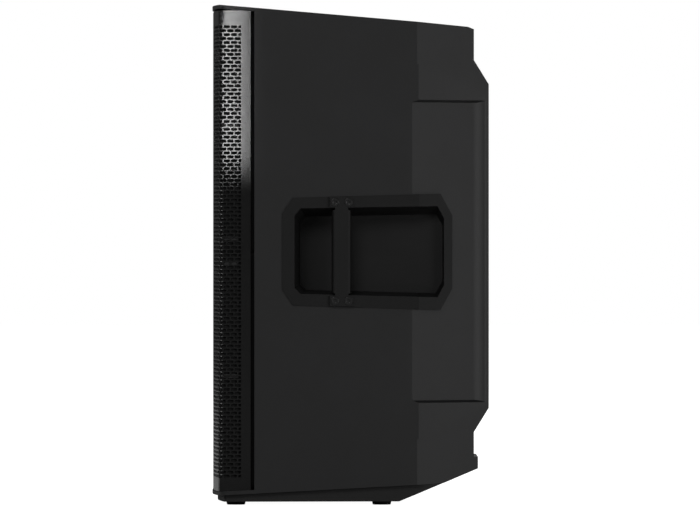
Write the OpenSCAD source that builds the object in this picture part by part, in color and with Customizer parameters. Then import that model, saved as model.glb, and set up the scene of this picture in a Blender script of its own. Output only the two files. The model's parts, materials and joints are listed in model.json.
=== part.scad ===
// Portable powered line array loudspeaker.
// Origin: on the floor, under the middle of the cabinet. +Z is up and the grille faces -Y.

/* [Cabinet] */
// Height from the floor to the front edge of the top
cabinet_h = 665; // [600:5:800]
// Width over the side walls at the front
cabinet_w = 334; // [320:2:400]
// Depth from the crown of the front to the rear face
cabinet_d = 370; // [365:5:444]
// Wall thickness of the moulded cabinet
wall = 5; // [4.5:0.5:6]
// How far the middle of the front stands ahead of its corners
crown = 12; // [6:1:18]
// Radius of the two upright front corners
corner_r = 9; // [8:1:12]
// Fall of the top from front to rear, in degrees
top_slope = 4.8; // [3:0.2:6]
// Rise of the cabinet's lower edge from front to rear, in degrees
seam_slope = 3; // [2:0.5:4]
// Height of the cabinet's lower edge at the front
seam_front_z = 12.6; // [12:0.2:16]
// Thickness of the two rims above and below the grille
rim_t = 5; // [4.5:0.5:6]
// Wall left where the rims are thinned to let the grille swing
rim_skin = 2.5; // [2:0.5:3]

/* [Rear of the cabinet] */
// Width between the two upright creases where the rear facets start
crease_w = 300; // [290:2:330]
// Distance of those creases from the rear face
crease_setback = 94; // [85:1:105]
// Width of the flat rear face
rear_w = 176; // [172:2:190]
// How far the middle of the rear stands behind its upper and lower decks
bulge_d = 20; // [14:1:24]
// Height of the sloping step above and below the rear face
bulge_step = 32; // [24:1:40]
// Height of the lower end of the rear face
bulge_bottom = 128; // [115:1:135]
// Distance from the cabinet's top to the upper end of the rear face
bulge_drop = 105; // [90:1:120]
// Depth of the sunken panel in each rear facet
panel_sink = 4.2; // [3:0.2:5]
// Length of the sweep that brings that panel up again before the rear edge
panel_sweep = 18; // [12:1:22]
// Plain strip between that sweep and the rear edge
panel_edge = 4.5; // [3:0.5:8]
// How much lower the facets are above and below their middle part
deck_sink = 1; // [0.6:0.1:1.4]
// Height of the rail at the foot of the rear
heel_rail_h = 15.5; // [12:0.5:20]
// How far that rail stands behind the lower deck
heel_rail_d = 5.5; // [4:0.5:7]
// Height of the rail's lower edge
heel_z = 47.5; // [42:0.5:55]
// Distance from the rear face to where the sloping heel starts
heel_setback = 120; // [110:1:130]

/* [Base] */
// How far the rubber feet stand below the plinth
foot_h = 4.8; // [3:0.2:8]
// Radius of a rubber foot
foot_r = 13; // [10:0.5:16]
// Inset of the plinth from the cabinet's sides
plinth_inset = 7; // [6:0.5:10]
// Inner radius of the pole socket
pole_r = 17.9; // [17.6:0.1:18.2]
// Depth of the pole socket
pole_depth = 68; // [60:1:72]
// Distance of the pole socket behind the cabinet's middle
pole_y = 22; // [18:1:30]

/* [Grille and array] */
// Distance from the front crown to the front edges of the side walls
side_setback = 58; // [55:1:62]
// Gap between the grille's edges and the side walls
shadow_gap = 5; // [4:0.5:6]
// Thickness of the perforated sheet
grille_t = 1.6; // [1.2:0.2:2]
// Clearance between the grille and the inside of the side walls
grille_clear = 1; // [0.8:0.1:1.5]
// How far each half of the array can be pushed back, in degrees
array_swing = 7; // [4:0.5:7]
// Distance of the array's hinge behind the front crown
hinge_setback = 25; // [22:1:28]
// Radius of the two hinge pins
hinge_pin_r = 4; // [3:0.5:5]
// Running clearance around a hinge pin
pin_clear = 0.05; // [0.02:0.01:0.1]
// Distance between neighbouring small drivers
driver_pitch = 76; // [68:1:78]
// Width and height of a small driver's square frame
driver_frame = 66; // [60:1:66]
// Radius of a small driver's cone
driver_cone_r = 25; // [22:0.5:27]

/* [Woofer] */
// Outer radius of the woofer's frame
woofer_r = 153; // [140:1:154]
// Height of the woofer's middle above the floor
woofer_z = 180; // [176:1:186]
// Depth of the woofer behind the baffle
woofer_depth = 118; // [110:1:124]
// Radius of the voice coil's former
coil_r = 38; // [32:1:40]
// Thickness of the baffle
baffle_t = 12; // [10:0.5:14]
// Inner radius of a port tube
port_r = 30; // [24:1:34]
// Length of a port tube
port_l = 120; // [90:5:140]

/* [Side handles] */
// Height of the middle of the handle above the floor
handle_z = 336.5; // [320:1:350]
// Height of the handle's opening
handle_h = 121; // [110:1:130]
// Length of the handle's opening
handle_l = 198.7; // [190:1:200]
// Distance from the front crown to the handle's opening
handle_setback = 111.2; // [110:1:114]
// Width of the rim around the opening
flange_w = 14; // [10:1:16]
// How far that rim stands proud of the wall
flange_t = 1.6; // [1:0.2:2.4]
// Wall thickness of the handle tray
tray_wall = 3; // [2:0.5:3.5]
// Depth of the tray below the wall
tray_depth = 52; // [44:1:54]
// Width of the grip bar
bar_w = 24.6; // [20:0.2:28]
// Thickness of the grip bar
bar_t = 18; // [14:0.5:20]
// Distance from the opening's front end to the middle of the grip bar
bar_setback = 62.2; // [55:1:70]
// Distance between the two screws of a pad
pad_screw_pitch = 17.8; // [14:0.2:19]
// Radius of a handle screw's head
handle_screw_r = 5.3; // [4:0.1:5.5]

/* [Connector panel] */
// Width of the recess in the rear face
bay_w = 148; // [140:2:152]
// Depth of the recess
bay_d = 25; // [22:1:28]
// Height of the recess
bay_h = 376; // [370:2:400]
// Gap between the rear face's lower end and the recess
bay_margin = 24; // [18:1:30]
// Thickness of the aluminium panel
amp_panel_t = 3; // [2:0.5:4]
// Clearance around the panel and around what passes through it
panel_clear = 0.3; // [0.2:0.1:0.5]
// Height of the cooling fins
fin_h = 16; // [10:1:18]
// Number of cooling fins
fin_count = 15; // [9:1:19]
// Radius of a level knob
knob_r = 10; // [8:0.5:12]

/* [Hidden] */
$fn = 64;
OUT = 40; // how far a cutting solid runs past the outside
half_w = cabinet_w / 2;
crease_half = crease_w / 2;
rear_half = rear_w / 2;
front_y = -cabinet_d / 2;
rear_y = cabinet_d / 2;
side_y = front_y + side_setback;
crease_y = rear_y - crease_setback;
deck_y = rear_y - bulge_d;
heel_y = rear_y - heel_setback;
heel_end_y = deck_y + heel_rail_d;
bulge_top = cabinet_h - bulge_drop;
crown_r = (half_w * half_w + crown * crown) / (2 * crown);
facet_angle = atan((crease_half - rear_half) / crease_setback);
taper_angle = atan((half_w - crease_half) / (crease_y - side_y));
crease_lead = 22; // stretch of side wall before the crease over which it can be drawn in
crease_dip = 0.5; // how far it is drawn in there

grille_half = half_w - wall - grille_clear;
grille_back_y = side_y - shadow_gap;
grille_front_y = front_y + 1;
swing_clear = 0.6; // left beside the grille where it swings in between the side walls
hinge_y = front_y + hinge_setback;
hinge_z = (cabinet_h + seam_front_z) / 2 - 1.2;
grille_reach = cabinet_h - rim_t - 3.5 - hinge_z; // from the hinge to either end of the grille
relief_angle = array_swing + 1.5;

baffle_y = front_y + 108;
baffle_back_y = baffle_y + baffle_t;

opening_y0 = front_y + handle_setback;
opening_y1 = opening_y0 + handle_l;
opening_z0 = handle_z - handle_h / 2;
opening_z1 = handle_z + handle_h / 2;
bar_y = opening_y0 + bar_setback;

bay_y = rear_y - bay_d;
bay_z0 = bulge_bottom + bay_margin;
bay_z1 = bay_z0 + bay_h;
board_y = bay_y - amp_panel_t - 27;
board_t = 1.8;
control_z = bay_z0 + 5; // the controls are placed upward from here

// ---------- outlines ----------

// Points on an arc around a centre
function arc(centre, r, from, to, steps) = [
    for (i = [0:steps])
        let (a = from + (to - from) * i / steps)
        [centre.x + r * cos(a), centre.y + r * sin(a)]
];

// Completes an outline whose right half starts on the middle line
function mirrored(right) = concat(right, [for (i = [len(right) - 1:-1:1]) [-right[i].x, right[i].y]]);

// The same outline, moved inwards by d (outwards where d is negative)
function inset(points, d) = [
    for (i = [0:len(points) - 1])
        let (
            n = len(points),
            before = points[(i + n - 1) % n],
            here = points[i],
            after = points[(i + 1) % n],
            u = (here - before) / norm(here - before),
            v = (after - here) / norm(after - here),
            m = [-u.y - v.y, u.x + v.x]
        )
        here + m * d / (1 + u * v)
];

// Heights of the cabinet's top, of its lower edge and of the sloping heel
function top_z(y) = cabinet_h - (y - front_y) * tan(top_slope);
function seam_z(y) = seam_front_z + (y - front_y) * tan(seam_slope);
heel_rise = (heel_z - foot_h) / (heel_end_y - heel_y);
function heel_cut_z(y) = foot_h + (y - heel_y) * heel_rise;
heel_cut_y = (seam_front_z - foot_h - front_y * tan(seam_slope) + heel_y * heel_rise)
    / (heel_rise - tan(seam_slope));

// Side view of the cabinet, as (y, z)
function side_profile() = [
    [front_y, seam_front_z],
    [heel_cut_y, seam_z(heel_cut_y)],
    [heel_end_y, heel_z],
    [heel_end_y, heel_z + heel_rail_h],
    [deck_y, heel_z + heel_rail_h],
    [deck_y, bulge_bottom - bulge_step],
    [rear_y, bulge_bottom],
    [rear_y, bulge_top],
    [deck_y, bulge_top + bulge_step],
    [deck_y, top_z(deck_y) - 2.4],
    [deck_y - 8, top_z(deck_y - 8)],
    [front_y, cabinet_h]
];

// Front and corners of an outline seen from above: a crowned front with rounded ends
function crowned_front(half, y, r) =
    let (
        middle = [0, y + crown_r],
        a = asin((half - r) / (crown_r - r)),
        corner = [half - r, middle.y - (crown_r - r) * cos(a)]
    )
    concat(
        arc(middle, crown_r, -90, -90 + a, 8),
        [for (i = [1:6]) arc(corner, r, -90 + a, 0, 6)[i]]
    );

// Half-width of the side wall at a place along its taper
function wall_x(y) = half_w - (y - side_y) * tan(taper_angle);

// Where the right-hand crease lies once the facet has moved inwards by facet_in
function crease_place(facet_in) =
    let (step = facet_in / sin(facet_angle - taper_angle))
    [crease_half + step * sin(taper_angle), crease_y - step * cos(taper_angle)];

// The cabinet seen from above, with its rear facets moved inwards by facet_in and the last stretch of its side walls
// drawn in by wall_in at the crease
function body_plan(facet_in = 0, wall_in = 0) = mirrored(concat(
    crowned_front(half_w, front_y, corner_r),
    [
        [half_w, side_y],
        [wall_x(crease_y - crease_lead), crease_y - crease_lead],
        crease_place(facet_in) - [wall_in, 0],
        [rear_half - facet_in / cos(facet_angle), rear_y]
    ]
));

// ---------- helpers ----------

// Extrudes a (y, z) outline over the width w
module across(w) {
    translate([-w / 2, 0, 0]) rotate([90, 0, 90]) linear_extrude(w) children();
}

// Extrudes an (x, y) outline between two heights
module upright(z0, z1) {
    translate([0, 0, z0]) linear_extrude(z1 - z0) children();
}

// Turns local +Z to the front (-Y)
module facing_front(x, y, z) {
    translate([x, y, z]) rotate([90, 0, 0]) children();
}

// Turns local +Z to the rear (+Y)
module facing_rear(x, y, z) {
    translate([x, y, z]) rotate([90, 0, 180]) children();
}

// Stands on the right-hand wall at y: local +X points out of the wall, local +Y runs along it
module on_wall(y, z) {
    translate([wall_x(y), y, z]) rotate([0, 0, taper_angle]) children();
}

// A rounded rectangle about the origin
module rounded(w, h, r) {
    square([w - 2 * r, h], center = true);
    square([w, h - 2 * r], center = true);
    for (x = [-1, 1], y = [-1, 1])
        translate([x * (w / 2 - r), y * (h / 2 - r)]) circle(r);
}

module mirror_copy() {
    children();
    mirror([1, 0, 0]) children();
}

// A socket-head screw: head from local z = 0 upward, shank below
module socket_screw(head_r, head_h, shank_r, shank_l) {
    difference() {
        union() {
            cylinder(r = head_r, h = head_h);
            translate([0, 0, -shank_l]) cylinder(r = shank_r, h = shank_l + 0.1);
        }
        translate([0, 0, head_h * 0.4]) cylinder(r = head_r * 0.5, h = head_h, $fn = 6);
    }
}

// ---------- cabinet ----------

module body_block() {
    intersection() {
        across(cabinet_w + OUT) polygon(side_profile());
        upright(0, cabinet_h + OUT) polygon(body_plan());
    }
}

// The inside of the cabinet
module body_cavity() {
    intersection() {
        across(cabinet_w + OUT) polygon(inset(side_profile(), wall));
        upright(0, cabinet_h + OUT) polygon(inset(body_plan(panel_sink), wall));
    }
}

// The front opening between the two rims, cut right across the width
module front_window() {
    across(cabinet_w + OUT) polygon([
        [front_y - OUT, seam_z(front_y - OUT) + rim_t],
        [side_y, seam_z(side_y) + rim_t],
        [side_y, top_z(side_y) - rim_t],
        [front_y - OUT, top_z(front_y - OUT) - rim_t]
    ]);
}

// Thins the rims and the side walls inside their edges, so that the grille's ends and sides swing clear
module swing_room() {
    y0 = front_y + wall + 1;
    y1 = baffle_y;
    side_end_y = grille_back_y + grille_reach * sin(array_swing) + 2;
    side_x = grille_half + swing_clear;
    intersection() {
        across(cabinet_w) polygon([
            [y0, seam_z(y0) + rim_skin],
            [y1, seam_z(y1) + rim_skin],
            [y1, top_z(y1) - rim_skin],
            [y0, top_z(y0) - rim_skin]
        ]);
        upright(0, cabinet_h + OUT) union() {
            polygon(inset(body_plan(), wall));
            translate([-side_x, side_y]) square([2 * side_x, side_end_y - side_y]);
        }
    }
}

// Plan of the sunken panel in the right-hand rear facet: a floor that starts on the side wall and sweeps up again
function panel_plan() =
    let (
        along = [-sin(facet_angle), cos(facet_angle)],
        out = [cos(facet_angle), sin(facet_angle)],
        crease = [crease_half, crease_y],
        start = [wall_x(crease_y - crease_lead + 6), crease_y - crease_lead + 6],
        length = crease_setback / cos(facet_angle) - panel_edge,
        sweep_r = (panel_sweep * panel_sweep + panel_sink * panel_sink) / (2 * panel_sink),
        turn = asin(panel_sweep / sweep_r)
    )
    concat(
        [start + [OUT, 0], start, crease_place(panel_sink) - [crease_dip, 0]],
        arc(crease + (length - panel_sweep) * along + (sweep_r - panel_sink) * out, sweep_r,
            180 + facet_angle, 180 + facet_angle - turn, 8),
        [crease + length * along + OUT * out]
    );

// Cuts that panel, with a bevel above and below, all but under the handle's rim
module facet_panel_cut() {
    z0 = bulge_bottom + 9;
    z1 = bulge_top - 25;
    bevel = 3.2 / panel_sink;
    difference() {
        intersection() {
            upright(z0 - OUT, z1 + OUT) polygon(panel_plan());
            translate([crease_half, crease_y, 0]) rotate([0, 0, facet_angle]) translate([0, 4 * OUT, 0])
                rotate([90, 0, 0]) linear_extrude(6 * OUT) polygon([
                    [-OUT, z0 + 2],
                    [-panel_sink, z0 + 2],
                    [2 * OUT, z0 + 2 - (2 * OUT + panel_sink) * bevel],
                    [2 * OUT, z1 + (2 * OUT + panel_sink) * bevel],
                    [-panel_sink, z1],
                    [-OUT, z1]
                ]);
        }
        across(cabinet_w + 4 * OUT) polygon(inset(flange_outline(), -0.4));
    }
}

// Lowers the rear facets a little above and below their middle part, up to two slanting lines
module deck_facet_cut() {
    y0 = crease_y - crease_lead;
    y1 = rear_y + OUT;
    high = bulge_top + 26; // the upper line at the crease
    low = bulge_bottom - 40; // the lower line at the crease
    difference() {
        across(cabinet_w + 4 * OUT) polygon([
            [y0, high + 1],
            [y1, high - (y1 - crease_y) * 0.07],
            [y1, cabinet_h + OUT],
            [y0, cabinet_h + OUT]
        ]);
        upright(0, cabinet_h + 2 * OUT) polygon(body_plan(deck_sink));
    }
    difference() {
        across(cabinet_w + 4 * OUT) polygon([
            [y0, -OUT],
            [y1, -OUT],
            [y1, low + (y1 - crease_y) * 0.24],
            [crease_y, low],
            [y0, low - 4]
        ]);
        upright(-2 * OUT, cabinet_h) polygon(body_plan(deck_sink, crease_dip));
    }
}

// The recess for the connector panel: its walls, and the space inside them
module bay_walls() {
    translate([-bay_w / 2 - 4, bay_y - 8, bay_z0 - 4]) cube([bay_w + 8, bay_d + 4, bay_h + 8]);
}

module bay_space() {
    translate([-bay_w / 2, bay_y, bay_z0]) cube([bay_w, bay_d + OUT, bay_h]);
    translate([-bay_w / 2 + 8, bay_y - OUT, bay_z0 + 8]) cube([bay_w - 16, OUT + 1, bay_h - 16]);
}

module cabinet_shell() {
    color([0.15, 0.15, 0.15]) difference() {
        union() {
            difference() {
                body_block();
                body_cavity();
            }
            bay_walls();
        }
        front_window();
        swing_room();
        bay_space();
        deck_facet_cut();
        mirror_copy() {
            facet_panel_cut();
            across_right() polygon(inset(opening_outline(), -tray_wall - 0.3));
            pad_screws() translate([0, 0, -OUT]) cylinder(r = 2, h = OUT);
        }
        translate([0, pole_y, 0]) cylinder(r = pole_r + 4.3, h = 60);
        for (x = [-1, 1], z = [bay_z0 + 4, (bay_z0 + bay_z1) / 2, bay_z1 - 4])
            facing_rear(x * (bay_w / 2 - 4), bay_y - 8, z) cylinder(r = 1.3, h = 8);
    }
}

module base_plinth() {
    y0 = front_y + plinth_inset;
    color([0.08, 0.08, 0.08]) difference() {
        intersection() {
            across(cabinet_w) polygon([
                [y0 - OUT, foot_h],
                [heel_y, foot_h],
                [heel_cut_y, seam_z(heel_cut_y)],
                [y0 - OUT, seam_z(y0 - OUT)]
            ]);
            upright(0, cabinet_h) polygon(inset(body_plan(), plinth_inset));
        }
        translate([0, pole_y, 0]) cylinder(r = pole_r + 4.3, h = 60);
        foot_places() translate([0, 0, foot_h]) cylinder(r = 4, h = 4);
    }
}

module pole_socket() {
    color([0.2, 0.2, 0.21]) translate([0, pole_y, foot_h]) difference() {
        union() {
            cylinder(r = pole_r + 4, h = pole_depth + 4);
            translate([0, 0, seam_z(pole_y) + wall + 2 - foot_h]) cylinder(r = pole_r + 12, h = 4);
        }
        translate([0, 0, -1]) cylinder(r = pole_r, h = pole_depth + 1);
    }
}

module foot_places() {
    for (x = [-1, 1], y = [front_y + 33, heel_y - 23])
        translate([x * (half_w - 52), y, 0]) children();
}

module rubber_feet() {
    color([0.05, 0.05, 0.05]) foot_places() {
        cylinder(r1 = foot_r - 1, r2 = foot_r, h = foot_h);
        translate([0, 0, foot_h - 0.1]) cylinder(r = 4, h = 4);
    }
}

// ---------- side handles ----------

// Opening of the tray, as (y, z): a rectangle with cut corners, longer cuts at the rear
function opening_outline() = [
    [opening_y0 + 8, opening_z0 + 4.6],
    [opening_y1 - 8.6, opening_z0],
    [opening_y1, opening_z0 + 16.5],
    [opening_y1, opening_z1 - 16.5],
    [opening_y1 - 8.6, opening_z1],
    [opening_y0 + 8, opening_z1 - 3],
    [opening_y0, opening_z1 - 13],
    [opening_y0, opening_z0 + 12.5]
];

// Rim around the opening: the same shape, drawn wider and with longer cut corners
function flange_outline() = [
    [opening_y0 - 2, opening_z0 - 10.8],
    [opening_y1 - 4.6, opening_z0 - 16.7],
    [opening_y1 + flange_w - 3, opening_z0 + 11.3],
    [opening_y1 + flange_w - 3, opening_z1 - 12.1],
    [opening_y1 - 4.6, opening_z1 + 16.5],
    [opening_y0 - 2, opening_z1 + 11.2],
    [opening_y0 - flange_w - 2, opening_z1 - 9.8],
    [opening_y0 - flange_w - 2, opening_z0 + 9.9]
];

// Extrudes a (y, z) outline over the right-hand half of the cabinet only
module across_right() {
    translate([half_w / 2, 0, 0]) rotate([90, 0, 90]) linear_extrude(half_w / 2 + OUT) children();
}

// Floor of the tray: the walls draw in towards it, most of all from above
function tray_floor() = [
    [opening_y0 + 14, opening_z0 + 9.9],
    [opening_y1 - 11, opening_z0 + 5.3],
    [opening_y1 - 2, opening_z0 + 22],
    [opening_y1 - 2, opening_z1 - 26],
    [opening_y1 - 10, opening_z1 - 10.8],
    [opening_y0 + 14, opening_z1 - 13.8],
    [opening_y0 + 7, opening_z1 - 23],
    [opening_y0 + 7, opening_z0 + 18]
];

// The bowl between a sloping surface, which passes x at y, and the floor
module bowl_under(x, y, slope, grow) {
    hull() {
        multmatrix([[1, -tan(slope), 0, x + y * tan(slope)], [0, 1, 0, 0], [0, 0, 1, 0]])
            rotate([90, 0, 90]) linear_extrude(OUT) polygon(inset(opening_outline(), -grow));
        translate([half_w - tray_depth - grow, 0, 0])
            rotate([90, 0, 90]) linear_extrude(0.1) polygon(inset(tray_floor(), -grow));
    }
}

// The whole bowl on the right: one part under the side wall, one under the rear facet
module tray_bowl(grow) {
    intersection() {
        bowl_under(half_w, side_y, taper_angle, grow);
        translate([0, crease_y - 10 * OUT, 0]) cube([10 * OUT, 10 * OUT + 0.01, 2 * cabinet_h]);
    }
    intersection() {
        bowl_under(crease_half, crease_y, facet_angle, grow);
        translate([0, crease_y, 0]) cube([10 * OUT, 10 * OUT, 2 * cabinet_h]);
    }
}

module handle_tray() {
    difference() {
        union() {
            intersection() {
                tray_bowl(tray_wall);
                upright(opening_z0 - OUT, opening_z1 + OUT) polygon(body_plan());
            }
            intersection() {
                across_right() polygon(flange_outline());
                upright(opening_z0 - OUT, opening_z1 + OUT) difference() {
                    polygon(inset(body_plan(), -flange_t));
                    polygon(body_plan());
                }
            }
        }
        tray_bowl(0);
        pad_screws() translate([0, 0, -OUT]) cylinder(r = 2, h = 2 * OUT);
    }
}

module handle_tray_right() { color([0.12, 0.12, 0.12]) handle_tray(); }
module handle_tray_left() { color([0.12, 0.12, 0.12]) mirror([1, 0, 0]) handle_tray(); }

pad_h = 14;
pad_t = 3.2;
pad_z = handle_h / 2 + 5;
grip_half = handle_h / 2 - 5.2; // half the grip's length, clear of the opening's sloping edges
grip_round = 3.5;

// Places of the four handle screws, with local +Z pointing out of the wall
module pad_screws() {
    for (y = [-1, 1], z = [-1, 1])
        on_wall(bar_y, handle_z) translate([flange_t + pad_t, y * pad_screw_pitch / 2, z * pad_z])
            rotate([0, 90, 0]) children();
}

module handle_bar() {
    difference() {
        on_wall(bar_y, handle_z) union() {
            translate([flange_t + pad_t - bar_t / 2, 0, -grip_half])
                linear_extrude(2 * grip_half) rounded(bar_t, bar_w, grip_round);
            translate([flange_t, grip_round - bar_w / 2, -pad_z]) cube([pad_t, bar_w - 2 * grip_round, 2 * pad_z]);
            for (z = [-1, 1])
                translate([flange_t, -bar_w / 2 - 3.4, z * pad_z - pad_h / 2]) cube([pad_t, bar_w + 6.8, pad_h]);
        }
        pad_screws() {
            translate([0, 0, -1.8]) cylinder(r = handle_screw_r + 0.2, h = 4);
            translate([0, 0, -OUT]) cylinder(r = 2.2, h = OUT);
        }
    }
}

module handle_bar_right() { color([0.11, 0.11, 0.11]) handle_bar(); }
module handle_bar_left() { color([0.11, 0.11, 0.11]) mirror([1, 0, 0]) handle_bar(); }

module handle_screws() {
    color([0.1, 0.1, 0.1]) mirror_copy() pad_screws()
        translate([0, 0, -1.8]) socket_screw(handle_screw_r, 2.2, 1.9, 14);
}

// ---------- woofer ----------

port_places = [[-1, 1], [1, 1]];
port_x = half_w - 77;
port_z = opening_z1 + 75;

module baffle_holes() {
    facing_front(0, baffle_back_y, woofer_z) translate([0, 0, -1]) cylinder(r = woofer_r - 16, h = baffle_t + 2);
    for (p = port_places)
        facing_front(p.x * port_x, baffle_back_y, port_z) translate([0, 0, -1]) cylinder(r = port_r + 3, h = baffle_t + 2);
    woofer_screw_places() translate([0, 0, -OUT]) {
        cylinder(r = 2.3, h = OUT + baffle_t);
        translate([0, 0, OUT + baffle_t - 4]) cylinder(r = 5, h = 5);
    }
}

module woofer_baffle() {
    color([0.16, 0.14, 0.12]) difference() {
        intersection() {
            across(cabinet_w) polygon(inset(side_profile(), wall));
            upright(0, cabinet_h) polygon(inset(body_plan(panel_sink), wall));
            translate([-half_w, baffle_y, 0]) cube([cabinet_w, baffle_t, cabinet_h]);
        }
        baffle_holes();
        mirror_copy() intersection() {
            across_right() polygon(inset(opening_outline(), -tray_wall - 0.3));
            translate([half_w - tray_depth - tray_wall - 0.3, baffle_y, 0]) cube([half_w, baffle_t, cabinet_h]);
        }
    }
}

module port_tubes() {
    color([0.1, 0.1, 0.1]) for (p = port_places)
        facing_front(p.x * port_x, baffle_back_y, port_z) difference() {
            union() {
                translate([0, 0, -port_l + baffle_t]) cylinder(r = port_r + 3, h = port_l - 1);
                translate([0, 0, -4]) cylinder(r = port_r + 10, h = 4);
            }
            translate([0, 0, -port_l]) cylinder(r = port_r, h = 2 * port_l);
        }
}

module woofer_screw_places() {
    for (i = [0:7])
        facing_front(0, baffle_back_y, woofer_z) rotate([0, 0, i * 45 + 22.5])
            translate([woofer_r - 8, 0, 0]) children();
}

module woofer_screws() {
    color([0.3, 0.3, 0.3]) woofer_screw_places() translate([0, 0, baffle_t - 4]) socket_screw(4.6, 3.2, 2.2, baffle_t + 3);
}

cone_r = woofer_r - 36; // outer radius of the cone
magnet_front = -woofer_depth + 32;
magnet_r = 80;

// Stands at the woofer's middle on the back of the baffle, local +Z forward
module at_woofer() {
    facing_front(0, baffle_back_y, woofer_z) children();
}

module woofer_basket() {
    color([0.2, 0.2, 0.21]) at_woofer() difference() {
        rotate_extrude() polygon([
            [woofer_r - 18, -4.4], [woofer_r - 18, 0], [woofer_r, 0], [woofer_r, -4],
            [woofer_r - 15, -4], [woofer_r - 17, -14], [magnet_r, magnet_front],
            [coil_r + 3, magnet_front], [coil_r + 3, magnet_front + 3],
            [magnet_r - 2, magnet_front + 3], [woofer_r - 20, -14], [woofer_r - 21, -4.4]
        ]);
        for (i = [0:5])
            rotate([0, 0, i * 60 + 30]) translate([0, -22, magnet_front + 14]) cube([woofer_r, 44, 44]);
        woofer_basket_holes();
    }
}

module woofer_basket_holes() {
    for (i = [0:7])
        rotate([0, 0, i * 45 + 22.5]) translate([woofer_r - 8, 0, -OUT]) cylinder(r = 2.3, h = 2 * OUT);
}

module woofer_magnet() {
    color([0.25, 0.25, 0.26]) at_woofer() rotate_extrude() polygon([
        [0, -woofer_depth], [magnet_r, -woofer_depth], [magnet_r, magnet_front],
        [coil_r + 1.6, magnet_front], [coil_r + 1.6, magnet_front - 8], [coil_r + 8, magnet_front - 8],
        [coil_r + 8, -woofer_depth + 8], [coil_r - 1.6, -woofer_depth + 8],
        [coil_r - 1.6, magnet_front], [0, magnet_front]
    ]);
}

coil_top = magnet_front + 22;

module woofer_voice_coil() {
    color([0.6, 0.4, 0.2]) at_woofer() rotate_extrude()
        translate([coil_r - 0.6, magnet_front - 12]) square([1.2, coil_top - magnet_front + 12]);
}

module woofer_spider() {
    inner = coil_r + 0.6;
    outer = magnet_r - 2;
    z = magnet_front + 3;
    waves = 5;
    pitch = (outer - 8 - inner - 3) / waves / 2;
    color([0.75, 0.6, 0.35]) at_woofer() rotate_extrude() union() {
        translate([inner, z + 9]) square([3.1, 1]);
        for (i = [0:2 * waves - 1])
            translate([inner + 3 + i * pitch, z + 9]) polygon([
                [0, i % 2 * 3], [pitch, (i + 1) % 2 * 3], [pitch, (i + 1) % 2 * 3 + 1], [0, i % 2 * 3 + 1]
            ]);
        translate([outer - 8, z]) square([2, 10]);
        translate([outer - 8, z]) square([6, 1]);
    }
}

module woofer_cone() {
    color([0.08, 0.08, 0.08]) at_woofer() rotate_extrude() polygon([
        [coil_r + 0.6, coil_top - 2], [cone_r, -7], [cone_r + 3, -7],
        [cone_r + 3, -5.6], [cone_r, -5.6], [coil_r + 0.6, coil_top]
    ]);
}

module woofer_dust_cap() {
    r = 60;
    rim = coil_r - 0.6;
    rise = r - sqrt(r * r - rim * rim);
    color([0.1, 0.1, 0.1]) at_woofer() translate([0, 0, coil_top - 3]) difference() {
        union() {
            intersection() {
                translate([0, 0, rise - r + 3]) sphere(r);
                cylinder(r = rim, h = rise + 4);
            }
        }
        translate([0, 0, rise - r + 3]) sphere(r - 1.5);
        translate([0, 0, -1]) cylinder(r = rim - 1.5, h = 3);
    }
}

module woofer_surround() {
    outer = woofer_r - 18;
    roll_r = (outer - cone_r - 6) / 2;
    middle = (cone_r + outer) / 2;
    base = -4.4;
    color([0.04, 0.04, 0.04]) at_woofer() rotate_extrude() union() {
        translate([cone_r - 1, base - 1.2]) square([5.2, 1.2]);
        difference() {
            translate([middle, base]) circle(roll_r);
            translate([middle, base]) circle(roll_r - 1.2);
            translate([middle - OUT / 2, base - OUT]) square(OUT);
        }
        translate([outer - 4.2, base]) square([4, 1.2]);
    }
}

// ---------- moving array ----------

grille_plan_full = mirrored(concat(crowned_front(grille_half, grille_front_y, corner_r - 1), [[grille_half, grille_back_y]]));

// Side view of the upper half, measured from the hinge: relieved behind it to let both halves swing
function half_profile(start, end, front, back) = [
    [front, start],
    [0, start],
    [back, start + back * tan(relief_angle)],
    [back, end],
    [front, end]
];

// Places the upper half at the hinge, or turns it upside down for the lower half
module array_half(upper) {
    translate([0, hinge_y, hinge_z]) mirror([0, 0, upper ? 0 : 1]) translate([0, -hinge_y, 0]) children();
}

module grille_half_sheet() {
    intersection() {
        difference() {
            upright(0, grille_reach) polygon(grille_plan_full);
            upright(-1, grille_reach + 1) polygon(inset(grille_plan_full, grille_t));
            upright(-1, grille_reach + 1)
                translate([-grille_half + grille_t, grille_back_y - 10]) square([2 * (grille_half - grille_t), 20]);
        }
        translate([0, hinge_y, 0]) across(cabinet_w)
            polygon(half_profile(0.4, grille_reach, front_y - hinge_y - 1, grille_back_y - hinge_y + 1));
    }
}

module upper_grille() { color([0.1, 0.1, 0.1]) array_half(true) grille_half_sheet(); }
module lower_grille() { color([0.1, 0.1, 0.1]) array_half(false) grille_half_sheet(); }

column_half = driver_frame / 2 + 8;
column_front_y = front_y + 13;
column_back_y = front_y + 56;
column_start = 14;
column_end = grille_reach - 6;
rib_t = 5;
rib_back_y = front_y + 36;
ear_t = 10;
ear_x = column_half + 48; // inner face of the cross bar's ears
ear_r = 8;

function driver_height(i) = driver_pitch * (i + 0.5) + 1;

// A rib that carries the sheet, as wide as the inside of the grille
module carrier_rib(z) {
    upright(z, z + rib_t) intersection() {
        polygon(inset(grille_plan_full, grille_t));
        translate([-half_w, front_y]) square([cabinet_w, rib_back_y - front_y]);
    }
}

// An ear around the hinge pin, joined to the lowest rib
module carrier_ear(x) {
    translate([x, hinge_y, 0]) {
        rotate([0, 90, 0]) cylinder(r = ear_r - 1, h = ear_t);
        translate([0, -ear_r + 1, 0]) cube([ear_t, 2 * ear_r - 2, column_start]);
    }
}

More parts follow.
